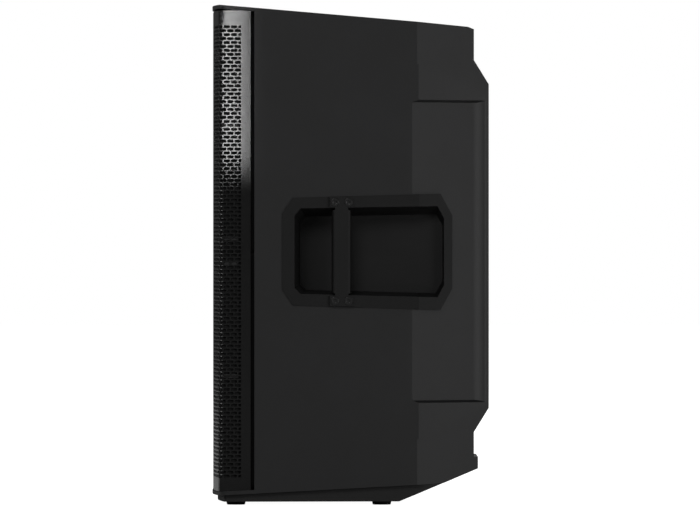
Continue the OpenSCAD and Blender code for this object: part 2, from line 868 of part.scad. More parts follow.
// One half's carrier: the upper one's ears lie inside the cross bar's ears, the lower one's outside them
module carrier(upper) {
    ear_at = upper ? ear_x - ear_t - 0.4 : ear_x + ear_t + 0.4;
    difference() {
        union() {
            translate([-column_half, column_front_y, column_start])
                cube([2 * column_half, column_back_y - column_front_y, column_end - column_start]);
            for (z = [column_start, (column_start + column_end) / 2, column_end - rib_t]) carrier_rib(z);
            mirror_copy() carrier_ear(ear_at);
        }
        translate([-column_half + 2, front_y, 0]) cube([2 * column_half - 4, column_front_y - front_y, grille_reach]);
        for (i = [0:3]) {
            translate([-column_half + 3, column_front_y + 3, driver_height(i) - driver_pitch / 2 + 1.5])
                cube([2 * column_half - 6, column_back_y - column_front_y, driver_pitch - 3]);
            facing_front(0, column_front_y + 5, driver_height(i)) {
                cylinder(r = driver_frame / 2 - 4, h = 10);
                driver_screw_places() translate([0, 0, -OUT / 2]) cylinder(r = 1.6, h = OUT);
            }
        }
        translate([0, hinge_y, 0]) rotate([0, 90, 0])
            translate([0, 0, -half_w]) cylinder(r = hinge_pin_r + pin_clear, h = cabinet_w);
    }
}

module upper_carrier() { color([0.18, 0.18, 0.18]) array_half(true) carrier(true); }
module lower_carrier() { color([0.18, 0.18, 0.18]) array_half(false) carrier(false); }

module driver_screw_places() {
    for (x = [-1, 1], y = [-1, 1])
        translate([x * (driver_frame / 2 - 5), y * (driver_frame / 2 - 5), 0]) children();
}

// A small driver's frame and magnet, with the back of its frame at local z = 0
module small_driver() {
    difference() {
        union() {
            linear_extrude(3) rounded(driver_frame, driver_frame, 6);
            translate([0, 0, -14]) cylinder(r1 = driver_cone_r - 3, r2 = driver_frame / 2 - 4.5, h = 14.1);
            translate([0, 0, -34]) cylinder(r = 20, h = 21);
        }
        translate([0, 0, -11]) cylinder(r1 = driver_cone_r - 8, r2 = driver_cone_r - 2, h = 11.1);
        cylinder(r = driver_cone_r + 1.5, h = 4);
        driver_screw_places() translate([0, 0, -1]) cylinder(r = 1.6, h = 6);
    }
}

// Its cone, dome and roll surround
module small_cone() {
    roll_r = 2.6;
    middle = driver_cone_r - 1 - roll_r;
    inner = middle - roll_r;
    rotate_extrude() union() {
        difference() {
            translate([middle, 0]) circle(roll_r);
            translate([middle, 0]) circle(roll_r - 1);
            translate([middle - OUT / 2, -OUT]) square(OUT);
        }
        translate([driver_cone_r - 1.9, 0]) square([3.2, 1]);
        polygon([
            [inner, 0], [inner + 1, 0], [inner + 1, 1.2], [inner, 1.2],
            [9, -5.4], [0, -3.4], [0, -4.6], [9, -6.8]
        ]);
    }
}

module at_driver(number) {
    upper = number <= 4;
    i = upper ? 4 - number : number - 5;
    translate([0, column_front_y, hinge_z + (upper ? 1 : -1) * driver_height(i)]) rotate([90, 0, 0]) children();
}

module array_driver(number) { color([0.22, 0.22, 0.23]) at_driver(number) small_driver(); }
module array_driver_1() { array_driver(1); }
module array_driver_2() { array_driver(2); }
module array_driver_3() { array_driver(3); }
module array_driver_4() { array_driver(4); }
module array_driver_5() { array_driver(5); }
module array_driver_6() { array_driver(6); }
module array_driver_7() { array_driver(7); }
module array_driver_8() { array_driver(8); }

module upper_array_cones() { color([0.3, 0.3, 0.32]) for (n = [1:4]) at_driver(n) small_cone(); }
module lower_array_cones() { color([0.3, 0.3, 0.32]) for (n = [5:8]) at_driver(n) small_cone(); }

module driver_screws() {
    driver_screw_places() translate([0, 0, 3]) socket_screw(2.6, 1.8, 1.5, 8);
}

module upper_array_screws() { color([0.35, 0.35, 0.35]) for (n = [1:4]) at_driver(n) driver_screws(); }
module lower_array_screws() { color([0.35, 0.35, 0.35]) for (n = [5:8]) at_driver(n) driver_screws(); }

beam_y = column_back_y + 8;
beam_d = 16;

module array_cross_bar() {
    color([0.2, 0.2, 0.2]) difference() {
        union() {
            intersection() {
                translate([-half_w, beam_y, hinge_z - ear_r]) cube([cabinet_w, beam_d, 2 * ear_r]);
                upright(0, cabinet_h) polygon(inset(body_plan(), wall));
            }
            mirror_copy() {
                translate([ear_x, hinge_y, hinge_z]) rotate([0, 90, 0]) cylinder(r = ear_r, h = ear_t);
                translate([ear_x, hinge_y, hinge_z - ear_r]) cube([ear_t, beam_y + 1 - hinge_y, 2 * ear_r]);
            }
        }
        translate([-half_w, hinge_y, hinge_z]) rotate([0, 90, 0]) cylinder(r = hinge_pin_r + 0.02, h = cabinet_w);
    }
}

module hinge_pins() {
    color([0.7, 0.7, 0.72]) mirror_copy() translate([ear_x - ear_t - 2, hinge_y, hinge_z])
        rotate([0, 90, 0]) cylinder(r = hinge_pin_r, h = 3 * ear_t + 4);
}

// ---------- connector panel and electronics ----------

left_x = -34;
right_x = 34;
inlet_z = control_z + 22;
output_z = control_z + 60;
input_z = control_z + 98;
switch_z = control_z + 130;
knob_z = control_z + 154;
led_z = control_z + 176;
sink_z0 = control_z + 188;
sink_h = bay_z1 - 10 - sink_z0;

// A place on the panel's seat, with local +Z pointing to the rear and local X running to the left as seen
// from behind
module on_panel(x, z) {
    facing_rear(-x, bay_y, z) children();
}

module through_cut(w, h, r) {
    translate([0, 0, -OUT / 2]) linear_extrude(OUT)
        rounded(w + 2 * panel_clear, h + 2 * panel_clear, r + panel_clear);
}

module through_hole(r) {
    translate([0, 0, -OUT / 2]) cylinder(r = r + panel_clear, h = OUT);
}

inlet_w = 27;
inlet_h = 20;
rocker_w = 21;
rocker_h = 14;
jack_r = 12;
latch_w = 6;
socket_r = 5;
led_r = 2;
switch_w = 12;
switch_h = 5;
board_face = board_y + board_t - bay_y; // local height of a board's face below the panel's seat

module panel_screw_places() {
    for (x = [-1, 1], z = [bay_z0 + 4, (bay_z0 + bay_z1) / 2, bay_z1 - 4])
        on_panel(x * (bay_w / 2 - 4), z) children();
}

// Where a board's four corners are held, with local z = 0 on the board's face
module board_corners(span) {
    for (x = [-1, 1], z = [span[0] + 6, span[1] - 6])
        on_panel(x * (bay_w / 2 - 18), z) translate([0, 0, board_face]) children();
}

board_spans = [
    [bay_z0 + 12, sink_z0 - 8],
    [sink_z0 + 2, sink_z0 + 76],
    [sink_z0 + 82, bay_z1 - 12]
];

module amp_panel() {
    color([0.1, 0.1, 0.11]) difference() {
        union() {
            on_panel(0, (bay_z0 + bay_z1) / 2) linear_extrude(amp_panel_t)
                rounded(bay_w - 2 * panel_clear, bay_h - 2 * panel_clear, 2);
            for (span = board_spans) board_corners(span) cylinder(r = 3, h = 0.1 - board_face);
        }
        on_panel(left_x + 6, inlet_z) through_cut(inlet_w, inlet_h, 2);
        on_panel(right_x + 4, inlet_z) through_cut(rocker_w, rocker_h, 1);
        on_panel(left_x, output_z) through_hole(jack_r);
        for (x = [right_x - 12, right_x + 12]) on_panel(x, output_z) through_hole(socket_r);
        for (x = [left_x, right_x]) {
            on_panel(x, input_z) through_hole(jack_r);
            on_panel(x, input_z) translate([-latch_w / 2 - 0.4, 0, -OUT / 2])
                cube([latch_w + 0.8, jack_r + 3.7, OUT]);
            on_panel(x, switch_z) through_cut(switch_w, switch_h, 1);
            on_panel(x, knob_z) through_hole(3);
        }
        led_places() through_hole(led_r);
        panel_screw_places() translate([0, 0, -OUT / 2]) cylinder(r = 1.7, h = OUT);
    }
}

module led_places() {
    for (i = [-1.5:1.5]) on_panel(i * 12, led_z) children();
}

module heat_sink() {
    w = bay_w - 24;
    pitch = (w - 2) / (fin_count - 1);
    color([0.14, 0.14, 0.15]) on_panel(0, sink_z0 + sink_h / 2) union() {
        translate([0, 0, amp_panel_t]) linear_extrude(4) square([w, sink_h], center = true);
        for (i = [0:fin_count - 1])
            translate([-w / 2 + i * pitch, -sink_h / 2, amp_panel_t + 3]) cube([2, sink_h, fin_h - 3]);
    }
}

// A circuit board across the bay between two heights, resting on its standoffs
module board(span) {
    on_panel(0, (span[0] + span[1]) / 2) translate([0, 0, board_face - board_t]) linear_extrude(board_t)
        square([bay_w - 20, span[1] - span[0]], center = true);
}

// A block on the inner side of a board
module on_board(x, z, w, h, depth) {
    on_panel(x, z) translate([-w / 2, -h / 2, board_face - board_t - depth]) cube([w, h, depth + 0.1]);
}

module input_board() {
    color([0.05, 0.3, 0.15]) union() {
        board(board_spans[0]);
        on_board(0, switch_z, 24, 24, 3);
        on_board(left_x, led_z - 4, 14, 10, 3);
        on_board(right_x, led_z - 4, 14, 10, 3);
    }
}

module amp_board() {
    span = board_spans[1];
    middle = (span[0] + span[1]) / 2;
    color([0.05, 0.3, 0.15]) union() {
        board(span);
        on_board(-28, middle, 26, 26, 22);
        on_board(28, middle, 26, 26, 22);
        on_board(0, middle, 16, 16, 5);
    }
}

module power_supply_board() {
    span = board_spans[2];
    middle = (span[0] + span[1]) / 2;
    color([0.05, 0.3, 0.15]) union() {
        board(span);
        on_board(-26, middle, 34, 40, 30);
        for (z = [-14, 14])
            on_panel(30, middle + z) translate([0, 0, board_face - board_t - 32]) cylinder(r = 11, h = 32.1);
    }
}

// A power socket with its three flat pins
module ac_inlet() {
    color([0.05, 0.05, 0.05]) on_panel(left_x + 6, inlet_z) union() {
        difference() {
            union() {
                translate([0, 0, amp_panel_t]) linear_extrude(2.5) rounded(inlet_w + 8, inlet_h + 8, 3);
                translate([0, 0, -22]) linear_extrude(22.1 + amp_panel_t) rounded(inlet_w, inlet_h, 2);
            }
            translate([0, 0, -14]) linear_extrude(OUT) rounded(inlet_w - 3, inlet_h - 4, 2);
        }
        for (i = [-1:1])
            translate([i * 7 - 1, (i == 0 ? 2 : -2) - 2, -15]) cube([2, 4, 14]);
    }
}

// A round socket for a three-pin plug: with contacts and a latch slot, or with pins
module jack_body(female) {
    difference() {
        union() {
            translate([0, 0, amp_panel_t]) linear_extrude(2) rounded(2 * jack_r + 2, 2 * jack_r + 7, 2);
            translate([0, 0, board_face]) cylinder(r = jack_r, h = amp_panel_t + 1 - board_face);
        }
        translate([0, 0, -13]) difference() {
            cylinder(r = jack_r - 2.4, h = OUT);
            if (female) cylinder(r = jack_r - 3.4, h = 14.2 + amp_panel_t);
        }
        if (female) {
            translate([0, 0, -10]) cylinder(r = 3.2, h = OUT);
            for (a = [30, 150, 270])
                rotate([0, 0, a]) translate([6, 0, -10]) cylinder(r = 1.3, h = OUT);
            translate([-latch_w / 2 - 0.4, jack_r - 3.4, -9]) cube([latch_w + 0.8, 7.4, OUT]);
        }
    }
    if (!female)
        for (a = [30, 150, 270])
            rotate([0, 0, a]) translate([5, 0, -13.5]) cylinder(r = 1.2, h = 13);
}

module input_jacks() {
    color([0.06, 0.06, 0.06]) for (x = [left_x, right_x]) on_panel(x, input_z) jack_body(true);
}

module output_jack() {
    color([0.06, 0.06, 0.06]) on_panel(left_x, output_z) jack_body(false);
}

// The thumb tab that frees a plug: it slides into the socket
module jack_latch(x) {
    color([0.3, 0.3, 0.3]) on_panel(x, input_z) union() {
        translate([-latch_w / 2, jack_r - 2.4, amp_panel_t - 2]) cube([latch_w, 5.6, 6.5]);
        translate([-latch_w / 2, jack_r - 2.4, -4]) cube([latch_w, 1.2, 6]);
    }
}

module jack_latch_1() { jack_latch(left_x); }
module jack_latch_2() { jack_latch(right_x); }

// Two phono sockets: a barrel with a hollow middle
module line_sockets() {
    color([0.75, 0.6, 0.3]) for (x = [right_x - 12, right_x + 12]) on_panel(x, output_z) difference() {
        union() {
            translate([0, 0, board_face]) cylinder(r = socket_r, h = amp_panel_t - board_face);
            translate([0, 0, amp_panel_t]) cylinder(r = socket_r + 1.2, h = 1.2);
            translate([0, 0, amp_panel_t]) cylinder(r = socket_r - 1, h = 8);
        }
        translate([0, 0, -6]) cylinder(r = 1.6, h = OUT);
    }
}

module panel_screws() {
    color([0.4, 0.4, 0.4]) panel_screw_places()
        translate([0, 0, amp_panel_t]) socket_screw(3, 2, 1.2, amp_panel_t + 7);
}

module led_lenses() {
    color([0.3, 0.7, 0.4]) led_places() {
        translate([0, 0, board_face]) cylinder(r = led_r, h = amp_panel_t - board_face);
        translate([0, 0, amp_panel_t]) intersection() {
            sphere(led_r);
            cylinder(r = led_r, h = led_r);
        }
    }
}

// A level knob with its shaft, finger flutes and a raised pointer
module level_knob(x) {
    color([0.12, 0.12, 0.12]) on_panel(x, knob_z) difference() {
        union() {
            translate([0, 0, amp_panel_t + 0.4]) cylinder(r1 = knob_r, r2 = knob_r - 1.5, h = 12);
            translate([0, 0, board_face + 0.2]) cylinder(r = 3, h = amp_panel_t + 0.4 - board_face);
            translate([-0.6, 2, amp_panel_t + 12]) cube([1.2, knob_r - 3.5, 1]);
        }
        for (a = [0:30:330])
            rotate([0, 0, a + 15]) translate([knob_r + 0.6, 0, amp_panel_t + 2]) cylinder(r = 1.4, h = 12);
    }
}

module level_knob_1() { level_knob(left_x); }
module level_knob_2() { level_knob(right_x); }

// A rocker with two sloping faces, which tilts about local X
rocker_tilt = 7;

module power_rocker() {
    half = rocker_h / 2 - 2;
    color([0.15, 0.15, 0.15]) on_panel(right_x + 4, inlet_z) translate([0, 0, amp_panel_t - 1])
        rotate([rocker_tilt, 0, 0]) rotate([90, 0, 90]) {
            translate([0, 0, 1.4 - rocker_w / 2]) linear_extrude(rocker_w - 2.8) polygon([
                [-half + 1, -4.5], [half - 1, -4.5], [half, 3.6], [0, 2.2], [-half, 3.6]
            ]);
            translate([0, 0, 1.2 - rocker_w / 2]) cylinder(r = 1.5, h = rocker_w - 2.4);
        }
}

// The housing that the rocker tilts in
module rocker_frame() {
    color([0.05, 0.05, 0.05]) on_panel(right_x + 4, inlet_z) difference() {
        union() {
            translate([0, 0, amp_panel_t]) linear_extrude(1.5) rounded(rocker_w + 4, rocker_h + 4, 2);
            translate([0, 0, board_face]) linear_extrude(amp_panel_t + 0.1 - board_face)
                rounded(rocker_w, rocker_h, 1);
        }
        translate([0, 0, -8]) linear_extrude(OUT) square([rocker_w - 2, rocker_h - 2], center = true);
    }
}

// A small switch: its knob slides along local X in the panel's slot
module slide_switch(x) {
    color([0.7, 0.7, 0.7]) on_panel(x, switch_z) union() {
        translate([-4.5, -1.8, -6]) cube([4, 3.6, 8.4 + amp_panel_t]);
        translate([-5.5, -2.4, -8]) cube([6, 4.8, 6]);
    }
}

module source_switch() { slide_switch(left_x); }
module tone_switch() { slide_switch(right_x); }

// The bodies of the two slide switches, on the input board
module switch_bodies() {
    color([0.5, 0.5, 0.52]) for (x = [left_x, right_x]) on_panel(x, switch_z) difference() {
        translate([-9, -5, board_face]) cube([18, 10, -3 - board_face]);
        translate([-6.5, -2.8, -8.4]) cube([13, 5.6, OUT]);
    }
}

cabinet_shell();
base_plinth();
pole_socket();
rubber_feet();
handle_tray_left();
handle_tray_right();
handle_bar_left();
handle_bar_right();
handle_screws();
woofer_baffle();
port_tubes();
woofer_basket();
woofer_magnet();
woofer_voice_coil();
woofer_spider();
woofer_cone();
woofer_surround();
woofer_dust_cap();
woofer_screws();
array_cross_bar();
hinge_pins();
upper_carrier();
lower_carrier();
upper_grille();
lower_grille();
array_driver_1();
array_driver_2();
array_driver_3();
array_driver_4();
array_driver_5();
array_driver_6();
array_driver_7();
array_driver_8();
upper_array_cones();
lower_array_cones();
upper_array_screws();
lower_array_screws();
amp_panel();
heat_sink();
amp_board();
power_supply_board();
input_board();
ac_inlet();
input_jacks();
output_jack();
line_sockets();
panel_screws();
led_lenses();
rocker_frame();
switch_bodies();
level_knob_1();
level_knob_2();
power_rocker();
source_switch();
tone_switch();
jack_latch_1();
jack_latch_2();
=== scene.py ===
"""Looks of a portable powered line array loudspeaker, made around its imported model.

Metres, +Z up, front at -Y.
"""

import json
import math

import bmesh
import bpy
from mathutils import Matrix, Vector


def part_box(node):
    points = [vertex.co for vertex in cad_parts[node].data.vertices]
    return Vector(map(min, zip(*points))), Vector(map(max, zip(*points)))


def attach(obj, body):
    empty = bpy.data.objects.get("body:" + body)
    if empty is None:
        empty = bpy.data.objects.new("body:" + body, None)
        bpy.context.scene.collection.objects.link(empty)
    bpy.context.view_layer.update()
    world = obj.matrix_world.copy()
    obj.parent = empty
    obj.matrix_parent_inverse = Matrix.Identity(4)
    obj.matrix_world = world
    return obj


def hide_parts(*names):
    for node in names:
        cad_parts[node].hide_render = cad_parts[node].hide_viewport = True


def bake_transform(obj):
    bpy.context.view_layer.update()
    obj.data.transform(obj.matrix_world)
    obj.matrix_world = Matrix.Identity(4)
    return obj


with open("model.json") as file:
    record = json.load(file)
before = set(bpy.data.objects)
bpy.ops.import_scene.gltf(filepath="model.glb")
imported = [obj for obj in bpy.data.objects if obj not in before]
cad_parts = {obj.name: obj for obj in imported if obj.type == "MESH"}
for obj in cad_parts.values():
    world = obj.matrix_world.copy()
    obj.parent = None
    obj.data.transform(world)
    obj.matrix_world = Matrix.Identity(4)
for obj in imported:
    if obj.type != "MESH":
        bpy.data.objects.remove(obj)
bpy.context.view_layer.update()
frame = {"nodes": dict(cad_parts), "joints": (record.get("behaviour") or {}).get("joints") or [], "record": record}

MM = 0.001

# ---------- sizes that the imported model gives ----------

shell_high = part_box("cabinet_shell")[1]
grille_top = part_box("upper_grille")[1].z
grille_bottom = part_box("lower_grille")[0].z
joints = {joint["name"]: joint for joint in frame["joints"]}
hinge = Vector(joints["upper_array_tilt"]["pos_m"])

# ---------- objects and meshes ----------


def linked(name, data):
    """A new object in the scene that holds this data."""
    made = bpy.data.objects.new(name, data)
    bpy.context.scene.collection.objects.link(made)
    return made


def mesh_of(name, work):
    """A mesh of what has been built in work, which is freed."""
    mesh = bpy.data.meshes.new(name)
    work.to_mesh(mesh)
    work.free()
    return mesh


# ---------- camera ----------

CAMERA_AWAY = 12.0  # from the near side wall, so that the view is nearly without perspective
CAMERA_Y = -0.0002  # ahead of the cabinet's middle
CAMERA_Z = 0.3328  # level with the cabinet's middle
FRAME_W = 0.9280  # width that the view spans at the near side wall
SENSOR = 36.0  # width of the camera's sensor, in millimetres


def make_camera():
    """A long lens that looks at the side wall squarely."""
    data = bpy.data.cameras.new("side_view")
    data.sensor_width = SENSOR
    data.lens = SENSOR * CAMERA_AWAY / FRAME_W
    data.clip_end = 60
    camera = linked("side_view", data)
    camera.location = (shell_high.x + CAMERA_AWAY, CAMERA_Y, CAMERA_Z)
    camera.rotation_euler = (math.radians(90), 0, math.radians(90))
    bpy.context.scene.camera = camera


make_camera()

# ---------- materials ----------


def linear(code):
    """An sRGB hex colour as linear red, green, blue and alpha."""
    parts = [int(code[i:i + 2], 16) / 255 for i in (1, 3, 5)]
    return [c / 12.92 if c <= 0.04045 else ((c + 0.055) / 1.055) ** 2.4 for c in parts] + [1.0]


def add(tree, kind, values=None, **settings):
    """Adds a node. settings are its own properties; values fill its sockets, and a socket given as a value
    is linked."""
    node = tree.nodes.new(kind)
    for name, value in settings.items():
        setattr(node, name, value)
    for name, value in (values or {}).items():
        socket = node.inputs[name]
        if isinstance(value, bpy.types.NodeSocket):
            tree.links.new(value, socket)
        else:
            socket.default_value = value
    return node


def new_material(name):
    """An empty material with its output node, and the Object coordinates in metres."""
    material = bpy.data.materials.new(name)
    material.use_nodes = True
    tree = material.node_tree
    tree.nodes.clear()
    output = add(tree, "ShaderNodeOutputMaterial")
    place = add(tree, "ShaderNodeTexCoord").outputs["Object"]
    return material, tree, output, place


def noise(tree, place, size, detail=2.0, rough=0.5):
    """Noise whose features are about size metres across."""
    return add(tree, "ShaderNodeTexNoise", {"Vector": place, "Scale": 1 / size, "Detail": detail,
                                            "Roughness": rough}).outputs["Fac"]


def spread(tree, factor, low, high):
    """Turns the middle of a noise's range into low..high."""
    return add(tree, "ShaderNodeMapRange", {"Value": factor, "From Min": 0.3, "From Max": 0.7,
                                            "To Min": low, "To Max": high}).outputs["Result"]


def shades(tree, factor, dark, light):
    """A colour between two sRGB hex colours."""
    mix = add(tree, "ShaderNodeMixRGB", {"Fac": factor, "Color1": linear(dark), "Color2": linear(light)})
    return mix.outputs["Color"]


def bump(tree, height_map, depth):
    """A relief that is depth metres deep."""
    relief = add(tree, "ShaderNodeBump", {"Height": height_map, "Distance": depth, "Strength": 1.0})
    return relief.outputs["Normal"]


def surface(tree, output, values, sharp=1.5):
    """A Principled surface joined to the output; sharp is its index of refraction."""
    shader = add(tree, "ShaderNodeBsdfPrincipled", dict({"IOR": sharp}, **values))
    tree.links.new(shader.outputs["BSDF"], output.inputs["Surface"])
    return shader


def moulded(name, dark, light, rough, grain, depth, sharp=1.49, patch=60 * MM):
    """A moulded or painted surface: soft patches of tone, and a fine grain in its gloss and its relief."""
    material, tree, output, place = new_material(name)
    patches = noise(tree, place, patch, 3.0)
    pits = noise(tree, place, grain, 2.0, 0.6)
    surface(tree, output, {
        "Base Color": shades(tree, spread(tree, patches, 0, 1), dark, light),
        "Roughness": spread(tree, pits, 0.93 * rough, 1.07 * rough),
        "Normal": bump(tree, pits, depth),
    }, sharp)
    return material


def metal(name, dark, light, rough, streak, across):
    """Bare metal with fine streaks; across says how much longer than wide they are along x, y and z."""
    material, tree, output, place = new_material(name)
    stretched = add(tree, "ShaderNodeMapping", {"Vector": place, "Scale": across}).outputs["Vector"]
    lines = noise(tree, stretched, streak, 3.0)
    surface(tree, output, {
        "Base Color": shades(tree, lines, dark, light),
        "Metallic": 1.0,
        "Roughness": spread(tree, lines, rough - 0.06, rough + 0.08),
        "Normal": bump(tree, lines, 0.01 * MM),
    })
    return material


def plywood(name):
    """Black-stained birch plywood: the stain lies in long grain lines along x."""
    material, tree, output, place = new_material(name)
    stretched = add(tree, "ShaderNodeMapping", {"Vector": place, "Scale": (0.08, 1, 1)}).outputs["Vector"]
    grain = noise(tree, stretched, 2.5 * MM, 4.0)
    surface(tree, output, {
        "Base Color": shades(tree, grain, "#0d0b0a", "#241d17"),
        "Roughness": 0.7,
        "Normal": bump(tree, grain, 0.08 * MM),
    })
    return material


def woven(name, dark, light, thread, rough):
    """Plain-weave cloth: two sets of threads that cross, read in the plane that faces the front."""
    material, tree, output, place = new_material(name)
    waves = [add(tree, "ShaderNodeTexWave", {"Vector": place, "Scale": 0.16 / thread, "Distortion": 0.4},
                 bands_direction=axis).outputs["Fac"] for axis in ("X", "Z")]
    cross = add(tree, "ShaderNodeMath", {0: waves[0], 1: waves[1]}, operation="MULTIPLY").outputs[0]
    surface(tree, output, {
        "Base Color": shades(tree, cross, dark, light),
        "Roughness": rough,
        "Normal": bump(tree, cross, 0.15 * MM),
    })
    return material


def pulp(name, dark, light):
    """Pressed paper pulp: short fibres in every direction under a thin coat."""
    material, tree, output, place = new_material(name)
    fibres = noise(tree, place, 1.2 * MM, 6.0, 0.75)
    surface(tree, output, {
        "Base Color": shades(tree, fibres, dark, light),
        "Roughness": spread(tree, fibres, 0.6, 0.8),
        "Normal": bump(tree, fibres, 0.12 * MM),
    })
    return material


def circuit(name):
    """Green solder mask over copper traces: a Voronoi net stands for the traces."""
    material, tree, output, place = new_material(name)
    cells = add(tree, "ShaderNodeTexVoronoi", {"Vector": place, "Scale": 250.0}, distance="MANHATTAN",
                feature="F1").outputs["Distance"]
    surface(tree, output, {
        "Base Color": shades(tree, cells, "#0c3a1c", "#1c5a2c"),
        "Roughness": 0.35,
        "Normal": bump(tree, cells, 0.03 * MM),
    })
    return material


def copper_winding(name):
    """Enamelled copper wire wound on a former: fine rings along the coil's axis, y."""
    material, tree, output, place = new_material(name)
    wave = add(tree, "ShaderNodeTexWave", {"Vector": place, "Scale": 320.0}, bands_direction="Y")
    rings = wave.outputs["Fac"]
    surface(tree, output, {
        "Base Color": shades(tree, rings, "#7a3c18", "#c8763c"),
        "Metallic": 1.0,
        "Roughness": 0.3,
        "Normal": bump(tree, rings, 0.1 * MM),
    })
    return material


def light_guide(name):
    """Tinted clear acrylic: the light guides are unlit, and read as dark green glass."""
    material, tree, output, place = new_material(name)
    flow = noise(tree, place, 3 * MM)
    surface(tree, output, {
        "Base Color": shades(tree, flow, "#2c7a48", "#3f9a5c"),
        "Roughness": 0.12,
        "Transmission Weight": 0.5,
    }, 1.49)
    return material


materials = {
    # moulded polypropylene with a fine spark-eroded grain: near black, a soft even gloss
    "cabinet": moulded("grained_polypropylene", "#131313", "#171718", 0.52, 1.1 * MM, 0.02 * MM),
    # the same plastic, duller, and painted darker: the dark tone is painted shade for the downward-facing base
    "base": moulded("plain_polypropylene", "#070707", "#090909", 0.66, 1.4 * MM, 0.03 * MM),
    # glass-filled nylon: duller, with a coarse skin
    "socket_cup": moulded("glass_filled_nylon", "#1a1a1b", "#232324", 0.6, 0.9 * MM, 0.05 * MM, 1.53),
    # moulded rubber: matt and nearly black
    "foot_rubber": moulded("moulded_rubber", "#0a0a0a", "#101010", 0.8, 0.8 * MM, 0.05 * MM, 1.52),
    # ABS with a fine texture, a little darker than the cabinet's sides
    "handle_plastic": moulded("textured_abs", "#0a0a0a", "#0f0f0f", 0.6, 1.0 * MM, 0.03 * MM, 1.38),
    # steel with black oxide: dark, with a metal's gloss
    "black_screw": moulded("black_oxide_steel", "#0b0b0b", "#121212", 0.4, 1.0 * MM, 0.01 * MM, 1.5),
    "baffle_board": plywood("stained_birch_plywood"),
    "port_plastic": moulded("moulded_port_plastic", "#0d0d0d", "#121212", 0.5, 1.2 * MM, 0.02 * MM),
    # cast aluminium under black enamel
    "basket_metal": moulded("enamelled_casting", "#141415", "#1c1c1d", 0.42, 2.0 * MM, 0.05 * MM, 1.52),
    # sintered ferrite: dark grey and dull
    "magnet": moulded("sintered_ferrite", "#222224", "#2d2d30", 0.7, 1.5 * MM, 0.05 * MM, 1.9),
    "coil_former": copper_winding("enamelled_copper_winding"),
    "spider_cloth": woven("resin_dipped_cotton", "#a5803c", "#c8a45c", 1.0 * MM, 0.8),
    "cone_paper": pulp("pressed_paper_pulp", "#0e0e0e", "#1b1b1b"),
    "surround_rubber": moulded("butyl_rubber", "#090909", "#0e0e0e", 0.6, 1.5 * MM, 0.02 * MM, 1.52),
    "carrier_plastic": moulded("moulded_carrier_abs", "#0c0c0c", "#101010", 0.55, 1.2 * MM, 0.02 * MM, 1.53),
    "steel_pin": metal("turned_steel", "#8d8d90", "#b4b4b8", 0.28, 0.4 * MM, (30, 1, 1)),
    # satin powder coat on steel: smoother and glossier than the cabinet, with a slight orange peel
    "grille_steel": moulded("satin_powder_coat", "#0a0a0a", "#0c0c0c", 0.24, 5 * MM, 0.006 * MM, 1.5),
    "driver_frame": moulded("black_pressed_steel", "#141415", "#1c1c1d", 0.4, 1.6 * MM, 0.02 * MM, 1.6),
    "driver_cone": pulp("coated_paper_cone", "#151516", "#242426"),
    # anodised sheet and extrusion: black, with a dry metal sheen
    "panel_aluminium": moulded("black_anodised_aluminium", "#121213", "#18181a", 0.42, 0.6 * MM,
                               0.01 * MM, 1.7),
    "circuit_board": circuit("solder_masked_board"),
    "connector_plastic": moulded("moulded_nylon", "#0a0a0a", "#0f0f0f", 0.35, 1.5 * MM, 0.015 * MM, 1.53),
    "socket_metal": metal("plated_brass", "#b08a40", "#d8b464", 0.25, 0.5 * MM, (1, 1, 1)),
    "lens": light_guide("tinted_acrylic"),
    "switch_metal": metal("pressed_zinc_plate", "#77777b", "#9c9ca2", 0.38, 0.8 * MM, (1, 6, 1)),
    # open polyester weave behind the perforated front
    "scrim": woven("acoustic_cloth", "#040404", "#0b0b0b", 0.8 * MM, 0.9),
    "knob_plastic": moulded("soft_touch_plastic", "#1b1b1c", "#222223", 0.6, 0.9 * MM, 0.015 * MM, 1.5),
}

slot_of = {part["node"]: part["material_slot"] for part in frame["record"]["subparts"]}


def dress(piece, slot):
    """Gives a piece the material of a record slot."""
    piece.data.materials.clear()
    piece.data.materials.append(materials[slot])


for name, node in frame["nodes"].items():
    node.data.materials.clear()
    node.data.materials.append(materials[slot_of[name]])

# ---------- pieces ----------

SHARP_EDGE = math.radians(18)  # edges of the moulded and cut pieces stay crisp from here up
ROUNDED_EDGE = math.radians(30)  # and get a small radius from here up
FLAT_WITHIN = math.radians(0.3)  # triangles that lie this flat are one face
WELD = 0.002 * MM  # points closer than this are one


def body_of(node):
    """The body that carries a node."""
    return next(body for body, nodes in frame["record"]["behaviour"]["bodies"].items() if node in nodes)


def applied(piece):
    """The piece with its modifiers turned into plain mesh."""
    graph = bpy.context.evaluated_depsgraph_get()
    mesh = bpy.data.meshes.new_from_object(piece.evaluated_get(graph))
    piece.modifiers.clear()
    old = piece.data
    piece.data = mesh
    bpy.data.meshes.remove(old)
    mesh.name = piece.name
    return piece


def flat_faces(piece):
    """Makes flat faces shade flat and rounded edges shade round."""
    piece.data.set_sharp_from_angle(angle=SHARP_EDGE)
    weighted = piece.modifiers.new("shading", "WEIGHTED_NORMAL")
    weighted.keep_sharp = True
    weighted.weight = 100
    return applied(piece)


